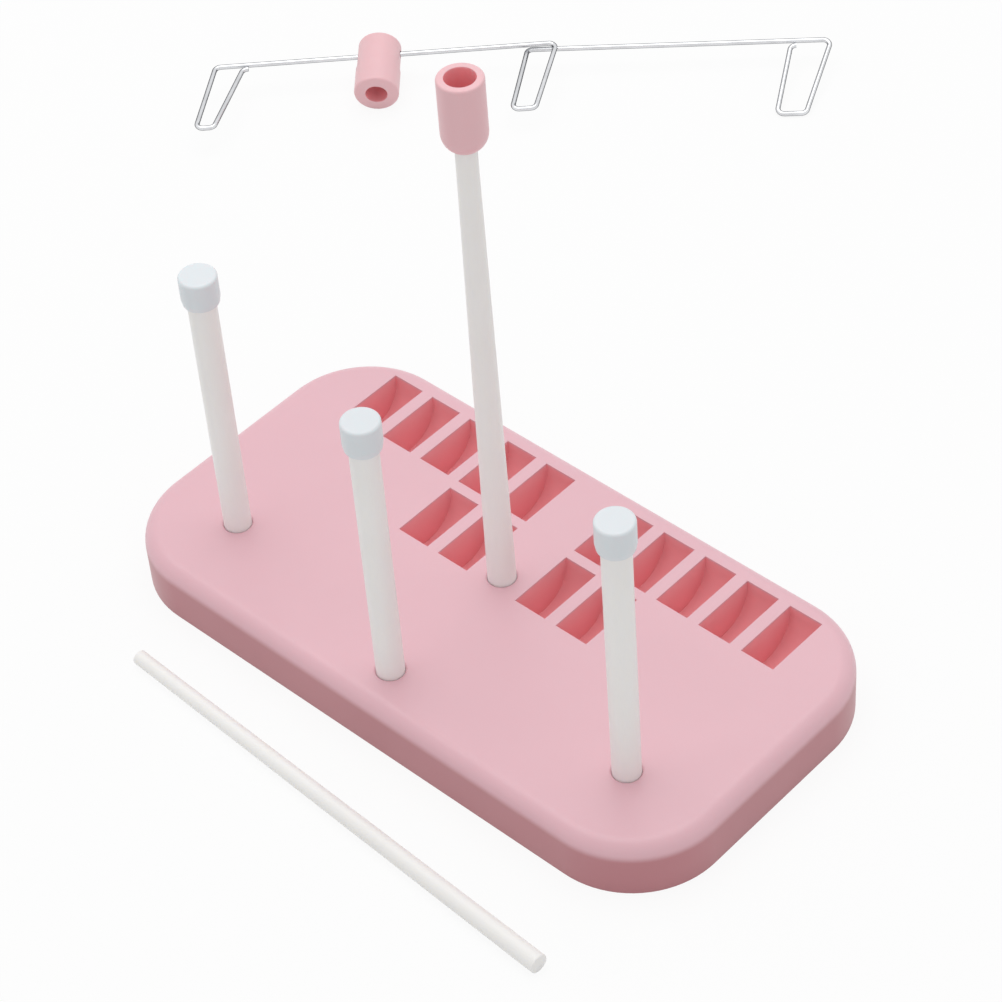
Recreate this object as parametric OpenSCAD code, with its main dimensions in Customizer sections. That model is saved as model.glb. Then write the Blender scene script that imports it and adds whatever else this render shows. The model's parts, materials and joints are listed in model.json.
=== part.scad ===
// Thread rack for three spools, laid out with its two-part mast taken apart.
// Millimetres. The origin is the middle of the base on the table, +Z is up,
// +X runs along the base's long side and +Y points to the bobbin pockets at the back.
// The base stands with its three spool pins and the lower mast. The upper mast lies in
// front of it, and the wire thread guide with its sleeve lies behind it.

/* [Base] */
// Length of the base along X
base_len = 240; // [225:1:280]
// Depth of the base along Y
base_depth = 125.4; // [120:0.2:150]
// Height of the base
base_h = 20.7; // [20.4:0.1:26]
// Radius of the base's corners seen from above
corner_r = 33; // [12:0.5:45]
// Radius of the rounding along the base's top edge
edge_r = 5.7; // [3:0.1:8]
// Thickness of the base's top plate and outer wall
skin_t = 2.4; // [1.6:0.1:3]
// Thickness of the ribs under the base
rib_t = 1.8; // [1.2:0.1:3]
// Height of the ribs' lower edges above the table
rib_lift = 2; // [1:0.5:6]

/* [Bobbin pockets] */
// Width of one pocket along X
pocket_w = 13; // [10:0.1:14]
// Length of one pocket along Y
pocket_len = 25.2; // [22:0.1:28]
// Depth of one pocket at its middle
pocket_depth = 15.6; // [14.2:0.1:17.6]
// Plastic left between two pockets of a row
pocket_web = 4.8; // [3:0.1:6]
// Wall round and under a pocket
pocket_wall = 2.05; // [1.4:0.05:2.2]
// Distance from the middle of the base to the nearest pockets
pocket_aisle = 10.8; // [10:0.1:14]
// Distance from the base's back edge to the back row
pocket_margin = 7.6; // [6:0.1:12]
// Pockets in one half of the back row
back_pockets = 5; // [1:1:5]
// Pockets in one half of the front row
front_pockets = 2; // [1:1:5]

/* [Spool pins] */
// Diameter of a spool pin
pin_d = 9.5; // [7:0.1:11]
// Height of a pin's bare end above the base's top
pin_rise = 107; // [80:1:130]
// Distance of the outer pins from the middle along X
pin_side_x = 86.4; // [70:0.1:90]
// Place of the outer pins along Y
pin_side_y = -31.5; // [-36:0.1:-22]
// Place of the middle pin along Y
pin_front_y = -47.3; // [-48:0.1:-30]
// Width of the slope at a pin's ends
pin_chamfer = 0.6; // [0.2:0.1:1.2]

/* [Sockets] */
// Depth of the holes that hold the pins and the mast
socket_depth = 16; // [12:0.5:17]
// Gap all round a pin or a mast in its hole
socket_clear = 0.1; // [0.05:0.01:0.3]
// Wall round a hole under the base
socket_wall = 2.4; // [1.6:0.1:2.8]
// Plastic under the floor of a pin's hole
socket_floor = 2; // [1.2:0.1:3]
// Width of the slope round a hole's mouth
socket_mouth = 0.5; // [0.2:0.1:1]

/* [Pin caps] */
// Diameter of a cap
cap_d = 12.7; // [12:0.1:16]
// Height of a cap
cap_h = 11; // [8:0.5:16]
// Plastic above the pin inside a cap
cap_top = 3; // [1.5:0.1:4]
// Gap all round the pin inside a cap
cap_clear = 0.1; // [0.05:0.01:0.3]
// Rounding of a cap's top edge
cap_edge = 1; // [0.4:0.1:1.5]
// Height of the taper at a cap's lower end
cap_taper_h = 2.4; // [1:0.1:4]
// How far that taper draws in
cap_taper = 0.4; // [0.1:0.05:0.6]

/* [Mast] */
// Place of the mast along Y
mast_y = 6.1; // [4:0.1:8]
// Diameter of the lower mast where it enters the base
mast_foot_d = 9.7; // [8.5:0.1:10]
// Diameter of the lower mast's top end
mast_top_d = 6.8; // [6:0.1:7.4]
// Height of the coupler's lower end above the base's top
mast_rise = 173; // [120:1:220]
// Length of the upper mast
upper_len = 187.4; // [140:0.2:230]
// Diameter of the upper mast's thick end
upper_foot_d = 6.6; // [5.8:0.1:7]
// Diameter of the upper mast's thin end
upper_top_d = 5.2; // [4.4:0.1:5.6]
// Length of the upper mast's thick end that fits the coupler
upper_foot_len = 9; // [6:0.5:12]
// Length of the upper mast's thin end that fits the guide's sleeve
upper_top_len = 9.5; // [6:0.5:10]
// Gap all round a mast end in the coupler or the sleeve
mast_clear = 0.1; // [0.05:0.01:0.2]

/* [Mast coupler] */
// Diameter of the coupler
coupler_d = 15.3; // [13.5:0.1:20]
// Depth of the hole that sits on the lower mast
coupler_foot = 10; // [7:0.5:14]
// Plastic between the coupler's lower and upper holes
coupler_web = 3; // [1.5:0.1:5]
// Diameter of the wide mouth above the upper hole
coupler_mouth_d = 9.6; // [8.5:0.1:11]
// Depth of that wide mouth
coupler_mouth = 10; // [4:0.5:14]
// Rounding of the coupler's top edges
coupler_edge = 0.8; // [0.3:0.1:1]
// Height of the rounded nose at the coupler's lower end
coupler_nose = 7; // [3:0.1:8]
// Radius of the nose's curve in profile
coupler_nose_r = 9.5; // [9:0.1:14]

/* [Guide wire] */
// Diameter of the wire
wire_d = 1.9; // [1.4:0.1:2.4]
// Inside radius of the wire's bends
wire_bend = 1.6; // [1:0.1:2]
// Length of the bar up to the middle loop's left corner
bar_left = 124.5; // [110:0.5:140]
// Length of the bar from there to the right loop's outer corner
bar_right = 120.7; // [100:0.1:140]
// Angle between the two halves of the bar
bar_kink = 3.7; // [0:0.1:6]
// Length of a loop's legs
loop_len = 38; // [30:0.5:46]
// How far the loops lean along the bar
loop_lean = 14; // [0:0.5:18]
// Width of the left loop at the bar
left_loop_w = 11; // [10:0.1:14]
// Width of the left loop at its free end
left_tip_w = 7.1; // [6:0.1:10]
// Width of the middle loop at the bar
middle_loop_w = 11.8; // [10:0.1:14]
// Width of the middle loop at its free end
middle_tip_w = 9.2; // [6:0.1:10]
// Width of the right loop at the bar
right_loop_w = 16.2; // [12:0.1:18]
// Width of the right loop at its free end
right_tip_w = 11.4; // [6:0.1:12]
// Turn of the left loop below level, about the bar
left_twist = 2; // [0:0.5:10]
// Turn of the middle loop below level, about the bar
middle_twist = 5; // [0:0.5:10]
// Gap between the wire's turns where they cross
wire_gap = 0.5; // [0.3:0.1:1]
// Length of the short tails that end the wire beside the bar
tail_len = 2.2; // [1.5:0.1:4]

/* [Guide sleeve] */
// Diameter of the sleeve's collar
sleeve_d = 17.8; // [15:0.1:20]
// Length of the sleeve
sleeve_len = 26; // [24:0.5:32]
// Length of the collar at the sleeve's mouth
collar_len = 12; // [6:0.5:14]
// How much the sleeve behind the collar is smaller in radius
collar_step = 0.35; // [0.2:0.05:0.8]
// Diameter of the wide mouth
sleeve_mouth_d = 8.8; // [7:0.1:10]
// Depth of the wide mouth
sleeve_mouth = 8; // [4:0.5:8]
// Rounding of the sleeve's edges
sleeve_edge = 1; // [0.4:0.1:2]
// Distance from the mouth to the cross hole for the wire
wire_hole_at = 21; // [20:0.1:22]
// Diameter of the cross hole
wire_hole_d = 3.8; // [3:0.1:4]
// Place of the sleeve along the bar
sleeve_at = 65.5; // [40:0.5:90]
// How far the sleeve's mouth points down, in degrees
sleeve_tilt = 9; // [0:0.5:20]
// How far the sleeve leans along the bar, in degrees
sleeve_lean = 5; // [0:0.5:5]

/* [Layout] */
// Place of the upper mast's thick end along X
upper_x = 105.7; // [60:0.1:140]
// Place of the upper mast's thick end along Y
upper_y = -95.4; // [-130:0.1:-85]
// Direction of the upper mast on the table, in degrees
upper_yaw = 176.94; // [170:0.01:190]
// Place of the guide's left corner along X
guide_x = -283.8; // [-300:0.1:-240]
// Place of the guide's left corner along Y
guide_y = 148.3; // [140:0.1:180]
// Direction of the guide's bar on the table, in degrees
guide_yaw = 44.6; // [40:0.1:50]

/* [Hidden] */
$fn = 64;

// A cut runs this far past the face that it opens
past = 1;
// Two solids that grow together overlap by this much
bite = 0.3;
// A straight run of the wire reaches this far into its bends
bend_bite = 0.15;
// The bends are this much thicker than the straight runs, so that the runs end inside them
bend_swell = 0.02;

pink = [0.90, 0.69, 0.72];
milky = [0.90, 0.90, 0.88];
white = [0.91, 0.93, 0.95];
steel = [0.72, 0.74, 0.76];

// Pockets
pocket_pitch = pocket_w + pocket_web;
pocket_r = pocket_len / 2;
row_gap = 2 * pocket_wall;
back_row_y = base_depth / 2 - pocket_margin - pocket_r;
front_row_y = back_row_y - pocket_len - row_gap;

// Pins, sockets and caps
pin_places = [[-pin_side_x, pin_side_y], [0, pin_front_y], [pin_side_x, pin_side_y]];
socket_z = base_h - socket_depth;
pin_top_z = base_h + pin_rise;
pin_socket_d = pin_d + 2 * socket_clear;
mast_socket_d = mast_foot_d + 2 * socket_clear;
cap_z = pin_top_z + cap_top - cap_h;

// Mast and coupler
mast_top_z = base_h + mast_rise + coupler_foot;
coupler_z = base_h + mast_rise;
upper_socket = upper_foot_len;
coupler_h = coupler_foot + coupler_web + upper_socket + coupler_mouth;

// Upper mast: it tips down to its thin end until both ends touch the table
upper_cone = upper_len - upper_foot_len - upper_top_len;
upper_tip = atan((upper_foot_d - upper_top_d) / 2 / upper_cone);
upper_z = upper_foot_d / 2 + upper_len * sin(upper_tip) - (upper_foot_d - upper_top_d) / 2;

// Guide: the sleeve's mouth and the right loop's free end carry it on the table
sleeve_r = sleeve_d / 2;
bar_z = (wire_hole_at - sleeve_edge) * sin(sleeve_tilt)
    + (sleeve_r - sleeve_edge) * cos(sleeve_tilt) + sleeve_edge;
cross_drop = wire_d + wire_gap;
right_twist = asin((bar_z - cross_drop - wire_d / 2) / loop_len);
lean_shift = loop_len * sin(loop_lean);
leg_reach = loop_len * cos(loop_lean);

// A point of a loop in the guide's frame: along the bar, out along the legs, and up.
// The legs turn down about the bar by the loop's own twist.
function loop_point(along, out, twist, level) =
    [along, -out * cos(twist), level - out * sin(twist)];

// The left loop, from the tail beside the bar round to the bar's left corner
left_path = [
    loop_point(left_loop_w + tail_len, wire_d + wire_gap, left_twist, 0),
    loop_point(left_loop_w, wire_d + wire_gap, left_twist, 0),
    loop_point((left_loop_w + left_tip_w) / 2 - lean_shift, leg_reach, left_twist, 0),
    loop_point((left_loop_w - left_tip_w) / 2 - lean_shift, leg_reach, left_twist, 0),
    [0, 0, 0]
];

// The middle loop is one full turn: the bar passes over it and leaves below
middle_path = [
    [bar_left + middle_loop_w, 0, 0],
    loop_point(bar_left + (middle_loop_w + middle_tip_w) / 2 - lean_shift, leg_reach, middle_twist, 0),
    loop_point(bar_left + (middle_loop_w - middle_tip_w) / 2 - lean_shift, leg_reach, middle_twist, 0),
    [bar_left, 0, -cross_drop]
];

// The right loop in the frame of the bar's right half, whose origin is the middle loop's corner
right_path = [
    [bar_right, 0, 0],
    loop_point(bar_right - (right_loop_w - right_tip_w) / 2 - lean_shift, leg_reach, right_twist, 0),
    loop_point(bar_right - (right_loop_w + right_tip_w) / 2 - lean_shift, leg_reach, right_twist, 0),
    loop_point(bar_right - right_loop_w, wire_d + wire_gap, right_twist, 0),
    loop_point(bar_right - right_loop_w + tail_len, wire_d + wire_gap, right_twist, 0)
];

function turned(p, angle) = [
    p[0] * cos(angle) - p[1] * sin(angle),
    p[0] * sin(angle) + p[1] * cos(angle),
    p[2]
];
wire_path = concat(
    left_path,
    middle_path,
    [for (p = right_path) [bar_left, 0, -cross_drop] + turned(p, -bar_kink)]
);

// Vector helpers for the bent wire
function unit(v) = v / norm(v);
function side_of(d) = unit(cross(abs(d[2]) < 0.9 ? [0, 0, 1] : [1, 0, 0], d));

// A solid drawn along +Z is placed with its axis from point a along direction d
module along(a, d) {
    x = side_of(d);
    y = cross(d, x);
    multmatrix([
        [x[0], y[0], d[0], a[0]],
        [x[1], y[1], d[1], a[1]],
        [x[2], y[2], d[2], a[2]],
        [0, 0, 0, 1]
    ])
        children();
}

// One bend of the wire: d_in and d_out are its directions before and after the corner
module wire_corner(corner, d_in, d_out, radius, turn) {
    axis = unit(cross(d_in, d_out));
    start = corner - radius * tan(turn / 2) * d_in;
    y = d_in;
    x = cross(y, axis);
    centre = start - radius * x;
    multmatrix([
        [x[0], y[0], axis[0], centre[0]],
        [x[1], y[1], axis[1], centre[1]],
        [x[2], y[2], axis[2], centre[2]],
        [0, 0, 0, 1]
    ])
        rotate_extrude(angle = turn)
            translate([radius, 0])
                circle(d = wire_d + bend_swell, $fn = 24);
}

// A round wire along a list of corner points, each corner bent to the same radius
module bent_wire(points, radius) {
    last = len(points) - 1;
    heading = [for (i = [0 : last - 1]) unit(points[i + 1] - points[i])];
    turn = [for (i = [1 : last - 1]) acos(heading[i - 1] * heading[i])];
    setback = concat([0], [for (t = turn) radius * tan(t / 2)], [0]);
    bite_at = concat([0], [for (t = turn) bend_bite], [0]);
    for (i = [0 : last - 1])
        along(points[i] + (setback[i] - bite_at[i]) * heading[i], heading[i])
            cylinder(
                h = norm(points[i + 1] - points[i]) - setback[i] + bite_at[i]
                    - setback[i + 1] + bite_at[i + 1],
                d = wire_d,
                $fn = 24
            );
    for (i = [1 : last - 1])
        wire_corner(points[i], heading[i - 1], heading[i], radius, turn[i - 1]);
}

// A rectangle standing on the X axis with its two upper corners rounded
module arch_profile(width, height, round_r) {
    translate([-width / 2, 0])
        square([width, height - round_r]);
    translate([round_r - width / 2, 0])
        square([width - 2 * round_r, height]);
    for (side = [-1, 1])
        translate([side * (width / 2 - round_r), height - round_r])
            circle(r = round_r);
}

// A plate with round corners and a rounded top edge, standing on the plane z = 0
module rounded_plate(length, depth, height, round_corner, round_edge) {
    dx = length / 2 - round_corner;
    dy = depth / 2 - round_corner;
    translate([-dx, 0, 0])
        rotate([90, 0, 90])
            linear_extrude(2 * dx)
                arch_profile(depth, height, round_edge);
    translate([0, dy, 0])
        rotate([90, 0, 0])
            linear_extrude(2 * dy)
                arch_profile(length, height, round_edge);
    for (i = [0 : 3])
        translate([(i == 0 || i == 3) ? dx : -dx, (i < 2) ? dy : -dy, 0])
            rotate([0, 0, 90 * i])
                rotate_extrude(angle = 90)
                    intersection() {
                        arch_profile(2 * round_corner, height, round_edge);
                        square([round_corner, height]);
                    }
}

// Outline of a bobbin pocket from the side: straight walls over a half-round floor
module pocket_profile(wall) {
    translate([0, -(pocket_depth - pocket_r)])
        circle(r = pocket_r + wall);
    translate([-pocket_r - wall, -(pocket_depth - pocket_r)])
        square([pocket_len + 2 * wall, pocket_depth - pocket_r]);
}

// The moulding that hangs under a row of pockets on the +X side
module pocket_trough(row_y, count) {
    run = count * pocket_w + (count - 1) * pocket_web + 2 * pocket_wall;
    translate([pocket_aisle - pocket_wall, row_y, base_h - bite])
        rotate([90, 0, 90])
            linear_extrude(run)
                intersection() {
                    translate([0, bite])
                        pocket_profile(pocket_wall);
                    translate([-pocket_len, -base_h])
                        square([2 * pocket_len, base_h]);
                }
}

// The pockets of one row on the +X side
module pocket_row(row_y, count) {
    for (i = [0 : count - 1])
        translate([pocket_aisle + i * pocket_pitch, row_y, base_h])
            rotate([90, 0, 90])
                linear_extrude(pocket_w) {
                    pocket_profile(0);
                    translate([-pocket_r, 0])
                        square([pocket_len, past]);
                }
}

// Both rows on both sides of the middle
module all_troughs() {
    for (side = [0, 1])
        mirror([side, 0, 0]) {
            pocket_trough(back_row_y, back_pockets);
            pocket_trough(front_row_y, front_pockets);
        }
}

module all_pockets() {
    for (side = [0, 1])
        mirror([side, 0, 0]) {
            pocket_row(back_row_y, back_pockets);
            pocket_row(front_row_y, front_pockets);
        }
}

// A boss under the base round the hole at a place, down to a height above the table
module socket_boss(place, bore_d, foot_z) {
    translate([place[0], place[1], foot_z])
        cylinder(h = base_h - skin_t + bite - foot_z, d = bore_d + 2 * socket_wall);
}

// The hole itself, with a sloping mouth
module socket_hole(place, bore_d) {
    translate([place[0], place[1], socket_z])
        cylinder(h = socket_depth + past, d = bore_d);
    translate([place[0], place[1], base_h - socket_mouth])
        cylinder(h = socket_mouth, d1 = bore_d, d2 = bore_d + 2 * socket_mouth);
    translate([place[0], place[1], base_h])
        cylinder(h = past, d = bore_d + 2 * socket_mouth);
}

// A rib under the base between two corners of its plan
module rib(x0, y0, x1, y1) {
    translate([x0, y0, rib_lift])
        cube([x1 - x0, y1 - y0, base_h - skin_t + bite - rib_lift]);
}

// The stiffening under the base: one rib through the outer pins, three across it
module all_ribs() {
    wall_x = base_len / 2 - skin_t + bite;
    wall_y = base_depth / 2 - skin_t + bite;
    trough_front = front_row_y - pocket_r - pocket_wall + bite;
    rib(-wall_x, pin_side_y - rib_t / 2, wall_x, pin_side_y + rib_t / 2);
    rib(-rib_t / 2, -wall_y, rib_t / 2, wall_y);
    for (side = [-1, 1])
        rib(
            side * pin_side_x / 2 - rib_t / 2, -wall_y,
            side * pin_side_x / 2 + rib_t / 2, pin_side_y + rib_t / 2
        );
}

// The base: one hollow moulding, open underneath, with its pockets, holes and ribs
module base() {
    color(pink)
        difference() {
            union() {
                difference() {
                    rounded_plate(base_len, base_depth, base_h, corner_r, edge_r);
                    translate([0, 0, -past])
                        rounded_plate(
                            base_len - 2 * skin_t,
                            base_depth - 2 * skin_t,
                            base_h - skin_t + past,
                            corner_r - skin_t,
                            max(edge_r - skin_t, bite)
                        );
                }
                all_troughs();
                all_ribs();
                for (place = pin_places)
                    socket_boss(place, pin_socket_d, socket_z - socket_floor);
                socket_boss([0, mast_y], mast_socket_d, 0);
            }
            all_pockets();
            for (place = pin_places)
                socket_hole(place, pin_socket_d);
            socket_hole([0, mast_y], mast_socket_d);
        }
}

// A round bar with a small slope at both ends
module chamfered_bar(h, d, slope) {
    cylinder(h = slope, d1 = d - 2 * slope, d2 = d);
    translate([0, 0, slope])
        cylinder(h = h - 2 * slope, d = d);
    translate([0, 0, h - slope])
        cylinder(h = slope, d1 = d, d2 = d - 2 * slope);
}

// A spool pin stands in its hole; the thread spool drops over it
module spool_pin(place) {
    color(milky)
        translate([place[0], place[1], socket_z])
            chamfered_bar(socket_depth + pin_rise, pin_d, pin_chamfer);
}

// A cap pushed over the top of a pin
module pin_cap(place) {
    color(white)
        translate([place[0], place[1], cap_z])
            difference() {
                union() {
                    cylinder(h = cap_taper_h, d1 = cap_d - 2 * cap_taper, d2 = cap_d);
                    translate([0, 0, cap_taper_h])
                        rotate_extrude()
                            intersection() {
                                arch_profile(cap_d, cap_h - cap_taper_h, cap_edge);
                                square([cap_d, cap_h]);
                            }
                }
                translate([0, 0, -past])
                    cylinder(h = cap_h - cap_top + past, d = pin_d + 2 * cap_clear);
            }
}

// The lower mast: a straight foot in the base, a long taper and a straight top in the coupler
module lower_mast() {
    color(milky)
        translate([0, mast_y, socket_z]) {
            cylinder(h = pin_chamfer, d1 = mast_foot_d - 2 * pin_chamfer, d2 = mast_foot_d);
            translate([0, 0, pin_chamfer])
                cylinder(h = socket_depth - pin_chamfer, d = mast_foot_d);
            translate([0, 0, socket_depth])
                cylinder(h = mast_rise, d1 = mast_foot_d, d2 = mast_top_d);
            translate([0, 0, socket_depth + mast_rise])
                cylinder(h = coupler_foot, d = mast_top_d);
        }
}

// The coupler: it sits on the lower mast's top, and its upper hole takes the upper mast
module mast_coupler() {
    upper_hole_z = coupler_foot + coupler_web;
    color(pink)
        translate([0, mast_y, coupler_z])
            difference() {
                union() {
                    rotate_extrude()
                        intersection() {
                            translate([coupler_d / 2 - coupler_nose_r, coupler_nose])
                                circle(r = coupler_nose_r, $fn = 96);
                            square([coupler_d, coupler_nose]);
                        }
                    translate([0, 0, coupler_nose])
                        rotate_extrude()
                            intersection() {
                                arch_profile(coupler_d, coupler_h - coupler_nose, coupler_edge);
                                square([coupler_d, coupler_h]);
                            }
                }
                translate([0, 0, -past])
                    cylinder(h = coupler_foot + past, d = mast_top_d + 2 * mast_clear);
                translate([0, 0, upper_hole_z])
                    cylinder(h = upper_socket + past, d = upper_foot_d + 2 * mast_clear);
                translate([0, 0, upper_hole_z + upper_socket])
                    cylinder(h = coupler_mouth + past, d = coupler_mouth_d);
            }
}

// The upper mast, lying on the table in front of the base
module upper_mast() {
    color(milky)
        translate([upper_x, upper_y, upper_z])
            rotate([0, 90 + upper_tip, upper_yaw]) {
                cylinder(h = upper_foot_len, d = upper_foot_d);
                translate([0, 0, upper_foot_len])
                    cylinder(h = upper_cone, d1 = upper_foot_d, d2 = upper_top_d);
                translate([0, 0, upper_len - upper_top_len])
                    cylinder(h = upper_top_len, d = upper_top_d);
            }
}

// Puts a child that is drawn along the bar's left half on the table
module guide_place() {
    translate([guide_x, guide_y, bar_z])
        rotate([0, 0, guide_yaw])
            children();
}

// The thread guide: one bent wire with a bar and three loops
module guide_wire() {
    color(steel)
        guide_place()
            bent_wire(wire_path, wire_bend + wire_d / 2);
}

// The sleeve that carries the guide on the upper mast's thin end.
// It hangs on the bar by its cross hole, and its mouth lies on the table.
module guide_sleeve() {
    body_r = sleeve_r - collar_step;
    tip_hole = upper_top_d + 2 * mast_clear;
    color(pink)
        guide_place()
            translate([sleeve_at, 0, 0])
                rotate([0, 0, -sleeve_lean])
                    rotate([90 + sleeve_tilt, 0, 0])
                        translate([0, 0, wire_hole_at - sleeve_len])
                            difference() {
                                union() {
                                    sleeve_end(body_r, sleeve_len - collar_len + bite);
                                    translate([0, 0, sleeve_len])
                                        mirror([0, 0, 1])
                                            sleeve_end(sleeve_r, collar_len);
                                }
                                translate([0, 0, sleeve_len - sleeve_mouth])
                                    cylinder(h = sleeve_mouth + past, d = sleeve_mouth_d);
                                translate([0, 0, sleeve_len - sleeve_mouth - upper_top_len])
                                    cylinder(h = upper_top_len + past, d = tip_hole);
                                translate([0, 0, sleeve_len - wire_hole_at])
                                    rotate([0, 90, 0])
                                        cylinder(h = 2 * sleeve_d, d = wire_hole_d, center = true);
                            }
}

// A round end with a rounded rim at z = 0
module sleeve_end(radius, h) {
    translate([0, 0, h])
        mirror([0, 0, 1])
            rotate_extrude()
                intersection() {
                    arch_profile(2 * radius, h, sleeve_edge);
                    square([radius, h]);
                }
}

base();
spool_pin(pin_places[0]);  // spool_pin_left
spool_pin(pin_places[1]);  // spool_pin_middle
spool_pin(pin_places[2]);  // spool_pin_right
pin_cap(pin_places[0]);  // pin_cap_left
pin_cap(pin_places[1]);  // pin_cap_middle
pin_cap(pin_places[2]);  // pin_cap_right
lower_mast();
mast_coupler();
upper_mast();
guide_wire();
guide_sleeve();
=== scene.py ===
import json
import math

import bmesh
import bpy
from mathutils import Matrix, Vector


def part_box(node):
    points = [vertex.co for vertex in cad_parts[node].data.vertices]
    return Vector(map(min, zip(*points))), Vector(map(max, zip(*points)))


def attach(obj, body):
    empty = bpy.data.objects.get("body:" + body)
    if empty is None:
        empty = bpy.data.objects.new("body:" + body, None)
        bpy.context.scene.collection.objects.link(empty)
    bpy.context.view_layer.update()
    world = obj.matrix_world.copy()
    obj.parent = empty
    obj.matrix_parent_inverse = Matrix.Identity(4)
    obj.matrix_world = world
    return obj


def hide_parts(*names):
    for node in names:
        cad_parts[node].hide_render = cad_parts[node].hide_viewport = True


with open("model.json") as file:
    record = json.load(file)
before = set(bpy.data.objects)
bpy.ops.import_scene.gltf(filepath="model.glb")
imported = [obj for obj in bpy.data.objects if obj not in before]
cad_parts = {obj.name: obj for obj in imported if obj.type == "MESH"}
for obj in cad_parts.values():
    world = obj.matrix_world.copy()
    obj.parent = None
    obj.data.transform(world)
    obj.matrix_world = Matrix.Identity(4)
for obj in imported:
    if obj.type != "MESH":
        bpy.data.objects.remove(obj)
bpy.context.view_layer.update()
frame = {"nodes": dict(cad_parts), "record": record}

bl_info = {
    "name": "Thread rack finishes",
    "version": (1, 0, 0),
    "blender": (4, 5, 0),
    "location": "3D View > Sidebar > Thread Rack",
    "description": "Finished pieces, plastics and steel for a thread rack, with a studio round it",
    "category": "Object",
}

# The photograph's view of the table, whose origin is the middle of the base
VIEW_TARGET = Vector((-0.0387, 0.0465, 0.0))
VIEW_DISTANCE = 1.1121
VIEW_AZIMUTH = 45.525
VIEW_ELEVATION = 44.642
VIEW_ROLL = -4.738
LENS_MM = 115.3
SENSOR_MM = 36.0

PIN_SIDES = ("left", "middle", "right")
UP = Vector((0.0, 0.0, 1.0))

# Width of the slope at a rod's end
ROD_SLOPE = 0.0006
# Depth and strength of the plastics' surface relief
RELIEF_DEPTH = 0.00012
RELIEF_STRENGTH = 0.35
# Points nearer than this are one point
MERGE_GAP = 2e-6


class RackShapeSettings(bpy.types.PropertyGroup):
    """Sizes of the small forms that the finished pieces carry"""

    rim_round: bpy.props.FloatProperty(
        name="Pocket rim",
        description="Rounding of the base's pocket rims and hole rims",
        default=0.00035,
        min=0.0001,
        max=0.001,
        unit="LENGTH",
    )
    fitting_round: bpy.props.FloatProperty(
        name="Fitting rim",
        description="Rounding of the rims of the coupler's and the sleeve's holes",
        default=0.0003,
        min=0.0001,
        max=0.001,
        unit="LENGTH",
    )
    rod_round: bpy.props.FloatProperty(
        name="Rod end",
        description="Rounding of the edges at the ends of the rods",
        default=0.0003,
        min=0.0001,
        max=0.0008,
        unit="LENGTH",
    )
    coupler_lift: bpy.props.FloatProperty(
        name="Coupler lift",
        description="Height by which the coupler's rounded lower end is drawn up the mast",
        default=0.0075,
        min=0.0,
        max=0.008,
        unit="LENGTH",
    )
    coupler_radius: bpy.props.FloatProperty(
        name="Coupler radius",
        description="Radius of the coupler's outer wall",
        default=0.0072,
        min=0.0068,
        max=0.00765,
        unit="LENGTH",
    )
    round_steps: bpy.props.IntProperty(
        name="Rim steps",
        description="Number of faces across a rounded rim",
        default=3,
        min=1,
        max=6,
    )
    lathe_steps: bpy.props.IntProperty(
        name="Lathe steps",
        description="Number of faces round a turned piece",
        default=96,
        min=24,
        max=160,
    )


class RackColourSettings(bpy.types.PropertyGroup):
    """Colours of the plastics and the wire, with lit and painted shade copies of the pink and a painted
    dark edge on the wire
    """

    # Painted light: this paler pink is the lit copy of the base's plastic, given to its level top; the
    # wall and the hollows get painted shade copies.
    pink: bpy.props.FloatVectorProperty(
        name="Pink",
        description="The pink plastic on open, level surfaces",
        subtype="COLOR",
        size=3,
        min=0.0,
        max=1.0,
        default=(0.80, 0.49, 0.545),
    )
    # Painted shade and interreflection: a deeper, more saturated copy of the pink for the inside of the
    # pockets and holes.
    hollow_shade_pink: bpy.props.FloatVectorProperty(
        name="Deep pink",
        description="The same plastic inside pockets and holes",
        subtype="COLOR",
        size=3,
        min=0.0,
        max=1.0,
        default=(0.95, 0.44, 0.47),
    )
    # Painted shade: a darker copy of the pink for the base's upright outer wall, standing in for the shade
    # on sides that face away from the panel above.
    wall_shade_pink: bpy.props.FloatVectorProperty(
        name="Wall pink",
        description="The same plastic on the base's upright outer wall",
        subtype="COLOR",
        size=3,
        min=0.0,
        max=1.0,
        default=(0.53, 0.21, 0.235),
    )
    fitting_pink: bpy.props.FloatVectorProperty(
        name="Fitting pink",
        description="The warmer pink of the coupler and the sleeve",
        subtype="COLOR",
        size=3,
        min=0.0,
        max=1.0,
        default=(0.855, 0.53, 0.56),
    )
    milky: bpy.props.FloatVectorProperty(
        name="Milky white",
        description="The milky plastic of the rods",
        subtype="COLOR",
        size=3,
        min=0.0,
        max=1.0,
        default=(0.94, 0.925, 0.905),
    )
    cool_white: bpy.props.FloatVectorProperty(
        name="Cool white",
        description="The bluish white plastic of the pin caps",
        subtype="COLOR",
        size=3,
        min=0.0,
        max=1.0,
        default=(0.77, 0.81, 0.84),
    )
    steel: bpy.props.FloatVectorProperty(
        name="Steel",
        description="The bright drawn wire",
        subtype="COLOR",
        size=3,
        min=0.0,
        max=1.0,
        default=(0.74, 0.75, 0.77),
    )
    # Painted shade: the dark colour given to the wire where its edges turn away from the view.
    steel_edge_shade: bpy.props.FloatVectorProperty(
        name="Steel edge",
        description="The wire where it turns away from the view",
        subtype="COLOR",
        size=3,
        min=0.0,
        max=1.0,
        default=(0.18, 0.18, 0.19),
    )


class RackStageSettings(bpy.types.PropertyGroup):
    """Levels of the studio light"""

    sky_level: bpy.props.FloatProperty(
        name="Sky",
        description="Strength of the even light from all round",
        default=0.66,
        min=0.0,
        max=2.0,
    )
    panel_power: bpy.props.FloatProperty(
        name="Panel",
        description="Power of the large panel above the rack",
        default=10.0,
        min=0.0,
        max=100.0,
        unit="POWER",
    )
    floor_size: bpy.props.FloatProperty(
        name="Floor",
        description="Side of the pale floor",
        default=20.0,
        min=1.0,
        max=30.0,
        unit="LENGTH",
    )


# Materials

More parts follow.
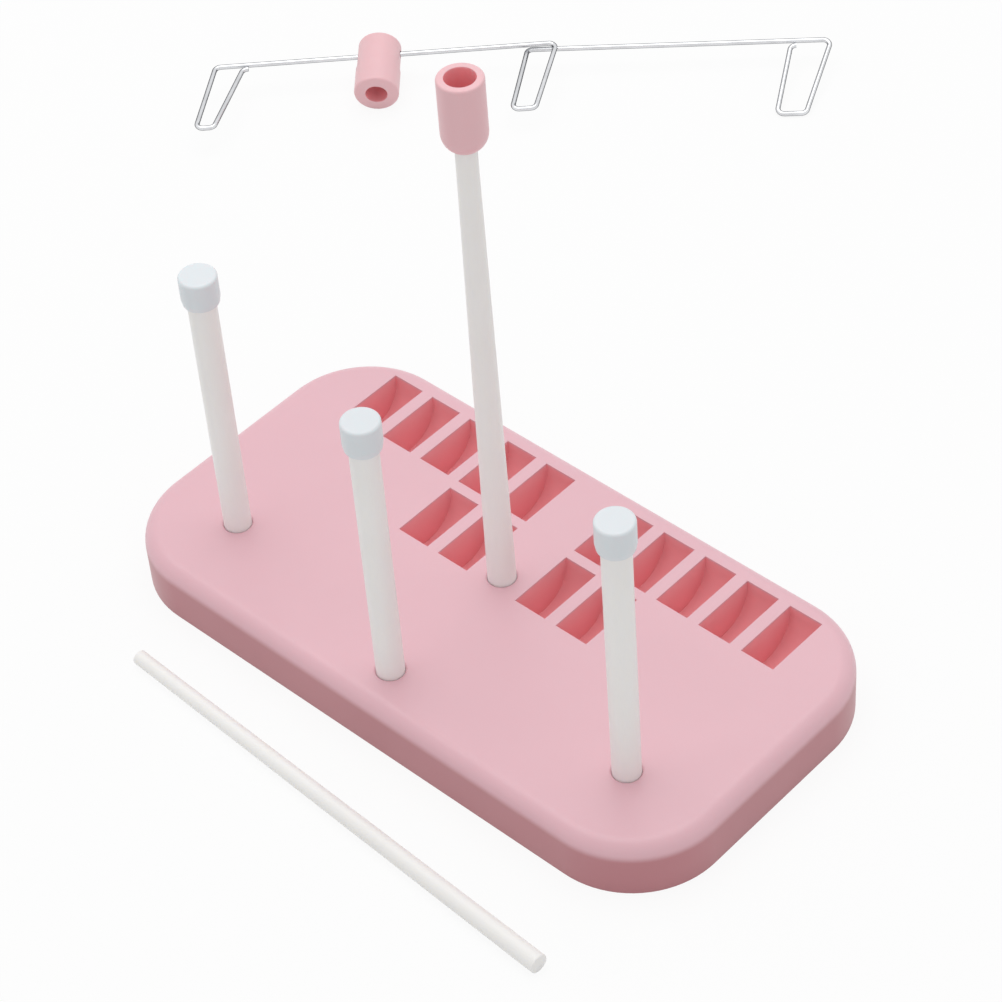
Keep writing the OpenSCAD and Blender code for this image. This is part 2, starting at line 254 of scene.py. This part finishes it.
def new_group(name, inputs, outputs):
    """A shader node group with named sockets, and its ends"""
    tree = bpy.data.node_groups.new(name, "ShaderNodeTree")
    for label, kind, value in inputs:
        socket = tree.interface.new_socket(name=label, in_out="INPUT", socket_type=kind)
        if value is not None:
            socket.default_value = value
    for label, kind in outputs:
        tree.interface.new_socket(name=label, in_out="OUTPUT", socket_type=kind)
    start = tree.nodes.new("NodeGroupInput")
    end = tree.nodes.new("NodeGroupOutput")
    return tree, start, end


def add_noise(tree, vector, scale, detail, roughness=0.5):
    """A noise node on the given coordinates"""
    noise = tree.nodes.new("ShaderNodeTexNoise")
    noise.inputs["Scale"].default_value = scale
    noise.inputs["Detail"].default_value = detail
    noise.inputs["Roughness"].default_value = roughness
    tree.links.new(vector, noise.inputs["Vector"])
    return noise.outputs["Fac"]


def add_range(tree, value, low, high, to_low, to_high):
    """A smooth step from one range of a value to another"""
    node = tree.nodes.new("ShaderNodeMapRange")
    node.interpolation_type = "SMOOTHSTEP"
    node.inputs["From Min"].default_value = low
    node.inputs["From Max"].default_value = high
    node.inputs["To Min"].default_value = to_low
    node.inputs["To Max"].default_value = to_high
    tree.links.new(value, node.inputs["Value"])
    return node.outputs["Result"]


def add_math(tree, operation, first, second):
    """A math node; each side is a socket or a number"""
    node = tree.nodes.new("ShaderNodeMath")
    node.operation = operation
    for socket, value in zip(node.inputs, (first, second)):
        if isinstance(value, (int, float)):
            socket.default_value = value
        else:
            tree.links.new(value, socket)
    return node.outputs[0]


def add_mix(tree, amount, first, second):
    """A colour mix; each input is a socket or a value"""
    node = tree.nodes.new("ShaderNodeMix")
    node.data_type = "RGBA"
    for name, value in ((0, amount), (6, first), (7, second)):
        socket = node.inputs[name]
        if isinstance(value, bpy.types.NodeSocket):
            tree.links.new(value, socket)
        else:
            socket.default_value = value
    return node.outputs[2]


def build_moulded_skin():
    """Moulded plastic: soft waviness, a fine satin grain, cloudiness and light handling scratches"""
    tree, start, end = new_group(
        "moulded_skin",
        (
            ("Vector", "NodeSocketVector", None),
            ("Colour", "NodeSocketColor", (0.8, 0.8, 0.8, 1.0)),
            ("Cloud Colour", "NodeSocketColor", (0.7, 0.7, 0.7, 1.0)),
            ("Cloudiness", "NodeSocketFloat", 0.2),
            ("Smoothness", "NodeSocketFloat", 0.35),
            ("Scratches", "NodeSocketFloat", 0.3),
        ),
        (
            ("Colour", "NodeSocketColor"),
            ("Roughness", "NodeSocketFloat"),
            ("Height", "NodeSocketFloat"),
        ),
    )
    vector = start.outputs["Vector"]
    cloud = add_range(tree, add_noise(tree, vector, 28.0, 3.0), 0.35, 0.68, 0.0, 1.0)
    speckle = add_noise(tree, vector, 900.0, 2.0, 0.6)
    clouded = add_math(tree, "MULTIPLY", cloud, 0.8)
    mottled = add_math(tree, "ADD", clouded, add_math(tree, "MULTIPLY", speckle, 0.2))
    colour = add_mix(
        tree,
        add_math(tree, "MULTIPLY", mottled, start.outputs["Cloudiness"]),
        start.outputs["Colour"],
        start.outputs["Cloud Colour"],
    )
    tree.links.new(colour, end.inputs["Colour"])

    stretch = tree.nodes.new("ShaderNodeMapping")
    stretch.inputs["Rotation"].default_value = (0.3, 0.2, 0.7)
    stretch.inputs["Scale"].default_value = (1.0, 26.0, 26.0)
    tree.links.new(vector, stretch.inputs["Vector"])
    streaks = add_noise(tree, stretch.outputs["Vector"], 34.0, 4.0, 0.7)
    scratch = add_range(tree, streaks, 0.66, 0.74, 0.0, 1.0)
    worn = add_math(tree, "MULTIPLY", scratch, start.outputs["Scratches"])
    haze = add_math(tree, "MULTIPLY", add_noise(tree, vector, 60.0, 4.0), 0.12)
    rough = add_math(tree, "ADD", start.outputs["Smoothness"], haze)
    rough = add_math(tree, "ADD", rough, add_math(tree, "MULTIPLY", worn, 0.15))
    tree.links.new(rough, end.inputs["Roughness"])

    wave = add_noise(tree, vector, 45.0, 1.0)
    grain = add_math(tree, "MULTIPLY", add_noise(tree, vector, 2600.0, 2.0), 0.035)
    height = add_math(tree, "ADD", wave, grain)
    height = add_math(tree, "SUBTRACT", height, add_math(tree, "MULTIPLY", worn, 0.03))
    tree.links.new(height, end.inputs["Height"])
    return tree


def build_drawn_lines():
    """Fine lines along a drawn rod, on coordinates that run round it and along it"""
    tree, start, end = new_group(
        "drawn_lines",
        (("Vector", "NodeSocketVector", None), ("Amount", "NodeSocketFloat", 0.3)),
        (("Mask", "NodeSocketFloat"), ("Height", "NodeSocketFloat")),
    )
    stretch = tree.nodes.new("ShaderNodeMapping")
    stretch.inputs["Scale"].default_value = (24.0, 5.0, 1.0)
    tree.links.new(start.outputs["Vector"], stretch.inputs["Vector"])
    lines = add_noise(tree, stretch.outputs["Vector"], 6.0, 3.0, 0.6)
    tree.links.new(
        add_math(tree, "MULTIPLY", add_range(tree, lines, 0.4, 0.7, 0.0, 1.0), start.outputs["Amount"]),
        end.inputs["Mask"],
    )
    tree.links.new(add_math(tree, "MULTIPLY", lines, start.outputs["Amount"]), end.inputs["Height"])
    return tree


def colour_of(value):
    """A colour property with full opacity"""
    return (value[0], value[1], value[2], 1.0)


def new_material(name, base, roughness):
    """A material's node tree and its Principled shader"""
    material = bpy.data.materials.new(name)
    material.use_nodes = True
    material.diffuse_color = base
    shader = material.node_tree.nodes["Principled BSDF"]
    shader.inputs["Base Color"].default_value = base
    shader.inputs["Roughness"].default_value = roughness
    return material.node_tree, shader


def put_group(tree, name):
    """Places a shared node group"""
    node = tree.nodes.new("ShaderNodeGroup")
    node.node_tree = bpy.data.node_groups[name]
    return node


def object_coordinates(tree):
    """The piece's own coordinates"""
    return tree.nodes.new("ShaderNodeTexCoord").outputs["Object"]


def add_bump(tree, shader, height, distance, strength):
    """A bump node under the shader's normal"""
    bump = tree.nodes.new("ShaderNodeBump")
    bump.inputs["Distance"].default_value = distance
    bump.inputs["Strength"].default_value = strength
    tree.links.new(height, bump.inputs["Height"])
    tree.links.new(bump.outputs["Normal"], shader.inputs["Normal"])
    return bump


def plastic(name, colour, cloud, cloudiness, smoothness, scratches, glow, glow_depth):
    """A moulded plastic with a shallow inner glow: its tree, shader, skin and relief"""
    tree, shader = new_material(name, colour, smoothness)
    skin = put_group(tree, "moulded_skin")
    tree.links.new(object_coordinates(tree), skin.inputs["Vector"])
    skin.inputs["Colour"].default_value = colour
    skin.inputs["Cloud Colour"].default_value = cloud
    skin.inputs["Cloudiness"].default_value = cloudiness
    skin.inputs["Smoothness"].default_value = smoothness
    skin.inputs["Scratches"].default_value = scratches
    tree.links.new(skin.outputs["Colour"], shader.inputs["Base Color"])
    tree.links.new(skin.outputs["Roughness"], shader.inputs["Roughness"])
    relief = add_bump(tree, shader, skin.outputs["Height"], RELIEF_DEPTH, RELIEF_STRENGTH)
    shader.inputs["IOR"].default_value = 1.49
    shader.inputs["Subsurface Weight"].default_value = glow
    shader.inputs["Subsurface Radius"].default_value = (1.0, 0.6, 0.6)
    shader.inputs["Subsurface Scale"].default_value = glow_depth
    return tree, shader, skin, relief


def build_pink_with_painted_shade(name, colours, shaded_colour, full, start):
    """Pink for the base, with painted light: the level top gets the pale lit copy, and a painted shade
    copy is blended in lower down
    """
    # pale is the lit copy for the top; deep is the painted shade copy.
    pale = colour_of(colours.pink)
    deep = colour_of(shaded_colour)
    lit_cloud = colour_of([0.95 * c for c in colours.pink])
    shaded_cloud = colour_of([0.92 * c for c in shaded_colour])
    tree, _, skin, _ = plastic(name, pale, lit_cloud, 0.35, 0.30, 0.35, 0.12, 0.0015)
    # Painted shade: the shaded copy is blended in by height, growing from start down to full under the
    # top.
    place = tree.nodes.new("ShaderNodeSeparateXYZ")
    tree.links.new(object_coordinates(tree), place.inputs["Vector"])
    painted_shade_amount = add_range(tree, place.outputs["Z"], full, start, 1.0, 0.0)
    tree.links.new(add_mix(tree, painted_shade_amount, pale, deep), skin.inputs["Colour"])
    tree.links.new(add_mix(tree, painted_shade_amount, lit_cloud, shaded_cloud), skin.inputs["Cloud Colour"])


def build_milky(colours):
    """Milky plastic of the rods, with drawn lines along them"""
    milky = colour_of(colours.milky)
    cloud = colour_of([0.94 * c for c in colours.milky])
    tree, shader, skin, relief = plastic("milky_rod", milky, cloud, 0.5, 0.38, 0.4, 0.3, 0.003)
    shader.inputs["Subsurface Radius"].default_value = (1.0, 0.95, 0.85)
    lines = put_group(tree, "drawn_lines")
    lines.inputs["Amount"].default_value = 0.5
    tree.links.new(tree.nodes.new("ShaderNodeTexCoord").outputs["UV"], lines.inputs["Vector"])
    streak = add_mix(
        tree,
        add_math(tree, "MULTIPLY", lines.outputs["Mask"], 0.5),
        milky,
        colour_of([0.93 * c for c in colours.milky]),
    )
    tree.links.new(streak, skin.inputs["Colour"])
    height = add_math(tree, "ADD", skin.outputs["Height"], lines.outputs["Height"])
    tree.links.new(height, relief.inputs["Height"])


def build_steel(colours):
    """Bright drawn steel wire, with painted shade darkening it towards the edges that turn away from the
    view
    """
    bright = colour_of(colours.steel)
    tree, shader = new_material("bright_steel", bright, 0.16)
    shader.inputs["Metallic"].default_value = 1.0
    # Its dark Specular Tint darkens the reflection towards the wire's edges too.
    shader.inputs["Specular Tint"].default_value = (0.08, 0.08, 0.09, 1.0)
    vector = object_coordinates(tree)
    patches = add_range(tree, add_noise(tree, vector, 140.0, 4.0), 0.35, 0.7, 0.0, 1.0)
    dull = colour_of([0.88 * c for c in colours.steel])
    # Painted shade: Layer Weight's facing mixes the dark edge colour into the steel's tone towards the
    # wire's edges.
    rim = tree.nodes.new("ShaderNodeLayerWeight")
    rim.inputs["Blend"].default_value = 0.5
    edge = add_range(tree, rim.outputs["Facing"], 0.34, 0.70, 0.0, 1.0)
    drawn = add_mix(tree, edge, add_mix(tree, patches, bright, dull), colour_of(colours.steel_edge_shade))
    tree.links.new(drawn, shader.inputs["Base Color"])
    rough = add_range(tree, add_noise(tree, vector, 420.0, 3.0), 0.3, 0.7, 0.10, 0.24)
    tree.links.new(rough, shader.inputs["Roughness"])
    add_bump(tree, shader, add_noise(tree, vector, 1800.0, 2.0), 0.00003, 0.3)


def build_materials(colours):
    """Every material of the rack, by a short name"""
    build_moulded_skin()
    build_drawn_lines()
    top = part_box("base")[1][2]
    # Painted light: the base's top gets the lit pink, and painted shade is blended in on its wall and in
    # its pockets.
    build_pink_with_painted_shade("pink_painted_wall_shade", colours, colours.wall_shade_pink, top - 0.0066, top - 0.0034)
    build_pink_with_painted_shade("pink_pocket", colours, colours.hollow_shade_pink, top - 0.0012, top - 0.0002)
    fitting = colours.fitting_pink
    cloud = colour_of([0.95 * c for c in fitting])
    plastic("pink_fitting", colour_of(fitting), cloud, 0.35, 0.32, 0.4, 0.12, 0.0015)
    # Painted shade and interreflection: the holes of the coupler and the sleeve get the deeper hollow
    # pink.
    deep = colours.hollow_shade_pink
    cloud = colour_of([0.9 * c for c in deep])
    plastic("pink_painted_bore_shade", colour_of(deep), cloud, 0.35, 0.36, 0.2, 0.5, 0.004)
    cool = colours.cool_white
    cloud = colour_of([0.95 * c for c in cool])
    plastic("cap_white", colour_of(cool), cloud, 0.4, 0.34, 0.4, 0.2, 0.002)
    build_milky(colours)
    build_steel(colours)


# Shapes

def finish_mesh(bm, piece_name, node, material_names, sharp_angle=35.0):
    """Makes a piece of a bmesh, smooth but for its sharp edges, in place of a node"""
    for face in bm.faces:
        face.smooth = True
    for edge in bm.edges:
        if len(edge.link_faces) == 2:
            edge.smooth = edge.calc_face_angle(0.0) < math.radians(sharp_angle)
    mesh = bpy.data.meshes.new(piece_name)
    bm.to_mesh(mesh)
    bm.free()
    piece = bpy.data.objects.new(piece_name, mesh)
    bpy.context.scene.collection.objects.link(piece)
    for name in material_names:
        mesh.materials.append(bpy.data.materials[name])
    weighted = piece.modifiers.new("even_shading", "WEIGHTED_NORMAL")
    weighted.keep_sharp = True
    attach(piece, node)
    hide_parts(node)
    return piece


def merged_copy(node):
    """A bmesh of a node's form, with its loose triangles merged and its flat faces joined"""
    bm = bmesh.new()
    bm.from_mesh(frame["nodes"][node].data)
    bmesh.ops.remove_doubles(bm, verts=bm.verts, dist=MERGE_GAP)
    bmesh.ops.dissolve_limit(bm, angle_limit=math.radians(0.2), verts=bm.verts, edges=bm.edges)
    return bm


def round_edges(bm, width, steps, least_angle, chosen=None):
    """Rounds the edges that are sharper than an angle"""
    edges = [
        e for e in bm.edges
        if len(e.link_faces) == 2
        and e.calc_face_angle(0.0) > math.radians(least_angle)
        and (chosen is None or chosen(e))
    ]
    bmesh.ops.bevel(
        bm,
        geom=edges,
        offset=width,
        offset_type="OFFSET",
        segments=steps,
        profile=0.5,
        affect="EDGES",
        clamp_overlap=True,
        material=-1,
    )


def turned(profile, steps):
    """A closed solid of revolution about Z, from the outline's points on the XZ plane"""
    bm = bmesh.new()
    points = [bm.verts.new((radius, 0.0, height)) for radius, height in profile]
    edges = [bm.edges.new(pair) for pair in zip(points, points[1:])]
    bmesh.ops.spin(
        bm,
        geom=points + edges,
        cent=(0.0, 0.0, 0.0),
        axis=UP,
        angle=2 * math.pi,
        steps=steps,
        use_merge=True,
    )
    bmesh.ops.remove_doubles(bm, verts=bm.verts, dist=1e-6)
    bmesh.ops.recalc_face_normals(bm, faces=bm.faces)
    return bm


def unwrap_turned(bm, length):
    """A UV map that runs once round a turned piece and along it"""
    layer = bm.loops.layers.uv.new("around")
    for face in bm.faces:
        centre = face.calc_center_median()
        middle = math.atan2(centre.y, centre.x)
        for loop in face.loops:
            spot = loop.vert.co
            swing = math.atan2(spot.y, spot.x) - middle
            swing = (swing + math.pi) % (2 * math.pi) - math.pi
            loop[layer].uv = ((middle + swing) / (2 * math.pi), spot.z / length)


def ringed_run(radius_low, radius_high, low, high, rings):
    """Points of a straight taper, with extra rings along it"""
    return [
        (radius_low + (radius_high - radius_low) * i / rings, low + (high - low) * i / rings)
        for i in range(rings + 1)
    ]


def box_of(node):
    """A node's lowest and highest corners and its middle in plan"""
    low, high = (Vector(corner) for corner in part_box(node))
    return low, high, (low + high) / 2


def mount(name):
    """Place, axis and sizes of a mount of the record"""
    found = next(m for m in frame["record"]["mounts"] if m["name"] == name)
    return Vector(found["pos_m"]), Vector(found["axis"]).normalized(), found["dims"]


def mark_bore(bm, place, axis, radius):
    """Gives the faces round an axis, nearer than a radius, the second material, which carries the painted
    hollow shade
    """
    for face in bm.faces:
        offset = face.calc_center_median() - place
        away = offset - offset.dot(axis) * axis
        if away.length < radius and abs(face.normal.dot(axis)) < 0.95:
            face.material_index = 1


def mark_pockets(bm, top):
    """Gives the faces that look into a pocket the second material, which carries the painted pocket shade
    """
    pockets = [box["box_m"] for box in frame["record"]["physics"]["openings"] if "_pocket_" in box["name"]]
    margin = Vector((0.0006, 0.0035))
    highest = top - 0.00005
    lowest = 0.004
    for face in bm.faces:
        centre = face.calc_center_median()
        if not lowest <= centre.z <= highest:
            continue
        for low, high in pockets:
            if not low[0] - margin.x < centre.x < high[0] + margin.x:
                continue
            if not low[1] - margin.y < centre.y < high[1] + margin.y:
                continue
            heart = Vector(((low[0] + high[0]) / 2, (low[1] + high[1]) / 2, top))
            if face.normal.dot(heart - centre) > 0.0:
                face.material_index = 1


# Operators

class RACK_OT_materials(bpy.types.Operator):
    """Build the plastics and the steel"""

    bl_idname = "rack.materials"
    bl_label = "Build materials"

    def execute(self, context):
        build_materials(context.scene.rack_colours)
        return {"FINISHED"}


class RACK_OT_base(bpy.types.Operator):
    """Finish the base moulding with rounded pocket and hole rims"""

    bl_idname = "rack.base"
    bl_label = "Finish base"

    def execute(self, context):
        shapes = context.scene.rack_shapes
        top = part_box("base")[1][2]
        bm = merged_copy("base")

        def at_top(edge):
            return min(v.co.z for v in edge.verts) > top - 0.00002

        round_edges(bm, shapes.rim_round, shapes.round_steps, 30.0, at_top)
        # Painted shade: the faces inside the pockets get the deeper hollow pink.
        mark_pockets(bm, top)
        finish_mesh(bm, "base_moulding", "base", ["pink_painted_wall_shade", "pink_pocket"], 30.0)
        return {"FINISHED"}


class RACK_OT_pins(bpy.types.Operator):
    """Turn the three spool pins"""

    bl_idname = "rack.pins"
    bl_label = "Turn spool pins"

    def execute(self, context):
        shapes = context.scene.rack_shapes
        for side in PIN_SIDES:
            node = "spool_pin_" + side
            low, high, middle = box_of(node)
            radius = (high.x - low.x) / 2
            length = high.z - low.z
            profile = [(0.0, 0.0), (radius - ROD_SLOPE, 0.0)]
            profile += ringed_run(radius, radius, ROD_SLOPE, length - ROD_SLOPE, 12)
            profile += [(radius - ROD_SLOPE, length), (0.0, length)]
            bm = turned(profile, shapes.lathe_steps)
            round_edges(bm, shapes.rod_round, shapes.round_steps, 20.0)
            unwrap_turned(bm, length)
            bmesh.ops.translate(bm, verts=bm.verts, vec=(middle.x, middle.y, low.z))
            finish_mesh(bm, "pin_rod_" + side, node, ["milky_rod"])
        return {"FINISHED"}


class RACK_OT_caps(bpy.types.Operator):
    """Finish the three pin caps with rounded rims"""

    bl_idname = "rack.caps"
    bl_label = "Finish pin caps"

    def execute(self, context):
        shapes = context.scene.rack_shapes
        for side in PIN_SIDES:
            node = "pin_cap_" + side
            bm = merged_copy(node)
            round_edges(bm, shapes.rod_round, shapes.round_steps, 40.0)
            finish_mesh(bm, "cap_shell_" + side, node, ["cap_white"])
        return {"FINISHED"}


class RACK_OT_masts(bpy.types.Operator):
    """Turn the lower mast and the upper mast"""

    bl_idname = "rack.masts"
    bl_label = "Turn masts"

    def execute(self, context):
        shapes = context.scene.rack_shapes
        low, high, middle = box_of("lower_mast")
        foot_r = (high.x - low.x) / 2
        top_r = 0.0034
        top_run = 0.010
        foot_run = 0.016
        length = high.z - low.z
        profile = [(0.0, 0.0), (foot_r - ROD_SLOPE, 0.0), (foot_r, ROD_SLOPE)]
        profile += ringed_run(foot_r, top_r, foot_run, length - top_run, 16)
        profile += [(top_r, length), (0.0, length)]
        bm = turned(profile, shapes.lathe_steps)
        round_edges(bm, shapes.rod_round, shapes.round_steps, 20.0)
        unwrap_turned(bm, length)
        bmesh.ops.translate(bm, verts=bm.verts, vec=(middle.x, middle.y, low.z))
        finish_mesh(bm, "lower_mast_rod", "lower_mast", ["milky_rod"])

        foot_place, foot_axis, foot = mount("upper_mast_foot")
        tip_place, tip_axis, tip = mount("upper_mast_tip")
        foot_half = foot["length_mm"] / 2000
        tip_half = tip["length_mm"] / 2000
        start = foot_place + foot_axis * foot_half
        length = (tip_place + tip_axis * tip_half - start).length
        profile = [(0.0, 0.0), (foot["r_mm"] / 1000, 0.0)]
        profile += ringed_run(
            foot["r_mm"] / 1000, tip["r_mm"] / 1000, 2 * foot_half, length - 2 * tip_half, 16
        )
        profile += [(tip["r_mm"] / 1000, length), (0.0, length)]
        bm = turned(profile, shapes.lathe_steps)
        round_edges(bm, shapes.rod_round, shapes.round_steps, 40.0)
        unwrap_turned(bm, length)
        turn = UP.rotation_difference(tip_axis).to_matrix().to_4x4()
        bmesh.ops.transform(bm, matrix=Matrix.Translation(start) @ turn, verts=bm.verts)
        finish_mesh(bm, "upper_mast_rod", "upper_mast", ["milky_rod"])
        return {"FINISHED"}


def draw_in_coupler(bm, middle, lift, radius):
    """Brings the coupler's rounded lower end up the mast, blunter, and its outer wall in to a radius"""
    nose = 0.007
    blunt = 0.005
    curve = 0.0065
    hole_side = 0.0044
    wall_band = 0.0016
    slack = 0.0001
    low = min(v.co.z for v in bm.verts)
    wall = max((v.co.xy - middle.xy).length for v in bm.verts)
    for v in bm.verts:
        out = v.co.xy - middle.xy
        rise = v.co.z - low
        reach = out.length
        if rise < nose + slack:
            drop = blunt * (1.0 - min(rise / nose, 1.0))
            v.co.z = low + lift + blunt - drop
            if reach > hole_side:
                reach = radius - curve + math.sqrt(curve ** 2 - drop ** 2)
        elif reach > wall - wall_band:
            reach *= radius / wall
        if out.length > slack:
            v.co.xy = middle.xy + out.normalized() * reach


class RACK_OT_coupler(bpy.types.Operator):
    """Finish the mast coupler, with painted shade, a deeper pink, inside its holes"""

    bl_idname = "rack.coupler"
    bl_label = "Finish coupler"

    def execute(self, context):
        shapes = context.scene.rack_shapes
        place, axis, _ = mount("coupler_socket")
        bm = merged_copy("mast_coupler")
        draw_in_coupler(bm, place, shapes.coupler_lift, shapes.coupler_radius)
        round_edges(bm, shapes.fitting_round, shapes.round_steps, 40.0)
        bore_reach = 0.00485
        mark_bore(bm, place, axis, bore_reach)
        finish_mesh(bm, "coupler_shell", "mast_coupler", ["pink_fitting", "pink_painted_bore_shade"])
        return {"FINISHED"}


class RACK_OT_guide(bpy.types.Operator):
    """Finish the guide's wire and its sleeve"""

    bl_idname = "rack.guide"
    bl_label = "Finish thread guide"

    def execute(self, context):
        shapes = context.scene.rack_shapes
        bm = merged_copy("guide_wire")
        finish_mesh(bm, "guide_bent_wire", "guide_wire", ["bright_steel"], 50.0)

        place, axis, _ = mount("sleeve_socket")
        bm = merged_copy("guide_sleeve")
        round_edges(bm, shapes.fitting_round, shapes.round_steps, 40.0)
        # Painted shade: the sleeve's hole gets the deeper hollow pink.
        bore_reach = 0.00445
        mark_bore(bm, place, axis, bore_reach)
        finish_mesh(bm, "sleeve_shell", "guide_sleeve", ["pink_fitting", "pink_painted_bore_shade"])
        return {"FINISHED"}


class RACK_OT_stage(bpy.types.Operator):
    """Set up the floor, the light and the camera"""

    bl_idname = "rack.stage"
    bl_label = "Set up studio"

    def execute(self, context):
        stage = context.scene.rack_stage
        build_floor(stage)
        build_world(stage)
        build_panel(stage)
        build_camera()
        context.scene.view_settings.view_transform = "Standard"
        return {"FINISHED"}


def seen_rays(tree):
    """One for camera, glossy and transmission rays"""
    path = tree.nodes.new("ShaderNodeLightPath")
    seen = add_math(tree, "MAXIMUM", path.outputs["Is Camera Ray"], path.outputs["Is Glossy Ray"])
    return add_math(tree, "MAXIMUM", seen, path.outputs["Is Transmission Ray"])


def build_floor(stage):
    """A pale floor that looks white and keeps a soft shadow"""
    bm = bmesh.new()
    bmesh.ops.create_grid(bm, x_segments=2, y_segments=2, size=stage.floor_size / 2)
    mesh = bpy.data.meshes.new("studio_floor")
    bm.to_mesh(mesh)
    bm.free()
    floor = bpy.data.objects.new("studio_floor", mesh)
    context = bpy.context
    context.scene.collection.objects.link(floor)
    material = bpy.data.materials.new("floor_white")
    material.use_nodes = True
    tree = material.node_tree
    tree.nodes.clear()
    matt = tree.nodes.new("ShaderNodeBsdfDiffuse")
    matt.inputs["Color"].default_value = (0.86, 0.86, 0.86, 1.0)
    glow = tree.nodes.new("ShaderNodeEmission")
    glow.inputs["Strength"].default_value = 1.0
    blend = tree.nodes.new("ShaderNodeMixShader")
    tree.links.new(add_math(tree, "MULTIPLY", seen_rays(tree), 0.9), blend.inputs["Fac"])
    tree.links.new(matt.outputs["BSDF"], blend.inputs[1])
    tree.links.new(glow.outputs["Emission"], blend.inputs[2])
    end = tree.nodes.new("ShaderNodeOutputMaterial")
    tree.links.new(blend.outputs["Shader"], end.inputs["Surface"])
    mesh.materials.append(material)


def build_world(stage):
    """Even light from all round, white where it is seen"""
    world = bpy.data.worlds.new("studio")
    bpy.context.scene.world = world
    world.use_nodes = True
    tree = world.node_tree
    background = tree.nodes["Background"]
    background.inputs["Color"].default_value = (1.0, 1.0, 1.0, 1.0)
    strength = tree.nodes.new("ShaderNodeMix")
    strength.inputs[2].default_value = stage.sky_level
    strength.inputs[3].default_value = 1.0
    tree.links.new(seen_rays(tree), strength.inputs[0])
    tree.links.new(strength.outputs[0], background.inputs["Strength"])


def build_panel(stage):
    """A large soft panel above and a little behind the rack"""
    light = bpy.data.lights.new("top_panel", "AREA")
    light.shape = "RECTANGLE"
    light.size = 1.6
    light.size_y = 1.2
    light.energy = stage.panel_power
    panel = bpy.data.objects.new("top_panel", light)
    bpy.context.scene.collection.objects.link(panel)
    panel.location = (-0.35, 0.25, 1.5)
    aim = Vector((0.0, 0.0, 0.0)) - panel.location
    panel.rotation_euler = aim.to_track_quat("-Z", "Y").to_euler()


def build_camera():
    """The photograph's camera"""
    data = bpy.data.cameras.new("photo_view")
    data.sensor_width = SENSOR_MM
    data.lens = LENS_MM
    camera = bpy.data.objects.new("photo_view", data)
    bpy.context.scene.collection.objects.link(camera)
    turn = (
        Matrix.Rotation(math.radians(VIEW_AZIMUTH), 4, "Z")
        @ Matrix.Rotation(math.radians(90 - VIEW_ELEVATION), 4, "X")
        @ Matrix.Rotation(math.radians(VIEW_ROLL), 4, "Z")
    )
    away = turn.col[2].to_3d() * VIEW_DISTANCE
    camera.matrix_world = Matrix.Translation(VIEW_TARGET + away) @ turn
    bpy.context.scene.camera = camera


class RACK_PT_panel(bpy.types.Panel):
    """Sizes, colours and steps of the thread rack"""

    bl_idname = "RACK_PT_panel"
    bl_label = "Thread Rack"
    bl_space_type = "VIEW_3D"
    bl_region_type = "UI"
    bl_category = "Thread Rack"

    def draw(self, context):
        for group in ("rack_shapes", "rack_colours", "rack_stage"):
            settings = getattr(context.scene, group)
            column = self.layout.column()
            for name in settings.__annotations__:
                column.prop(settings, name)
        for operator in OPERATORS:
            self.layout.operator(operator.bl_idname)


SETTINGS = {
    "rack_shapes": RackShapeSettings,
    "rack_colours": RackColourSettings,
    "rack_stage": RackStageSettings,
}
OPERATORS = (
    RACK_OT_materials,
    RACK_OT_stage,
    RACK_OT_base,
    RACK_OT_pins,
    RACK_OT_caps,
    RACK_OT_masts,
    RACK_OT_coupler,
    RACK_OT_guide,
)


def register():
    for settings in SETTINGS.values():
        bpy.utils.register_class(settings)
    for name, settings in SETTINGS.items():
        setattr(bpy.types.Scene, name, bpy.props.PointerProperty(type=settings))
    for operator in OPERATORS:
        bpy.utils.register_class(operator)
    bpy.utils.register_class(RACK_PT_panel)


def unregister():
    bpy.utils.unregister_class(RACK_PT_panel)
    for operator in reversed(OPERATORS):
        bpy.utils.unregister_class(operator)
    for name, settings in SETTINGS.items():
        delattr(bpy.types.Scene, name)
        bpy.utils.unregister_class(settings)


def main():
    register()
    bpy.ops.rack.materials()
    bpy.ops.rack.stage()
    bpy.ops.rack.base()
    bpy.ops.rack.pins()
    bpy.ops.rack.caps()
    bpy.ops.rack.masts()
    bpy.ops.rack.coupler()
    bpy.ops.rack.guide()


if __name__ == "__main__":
    main()
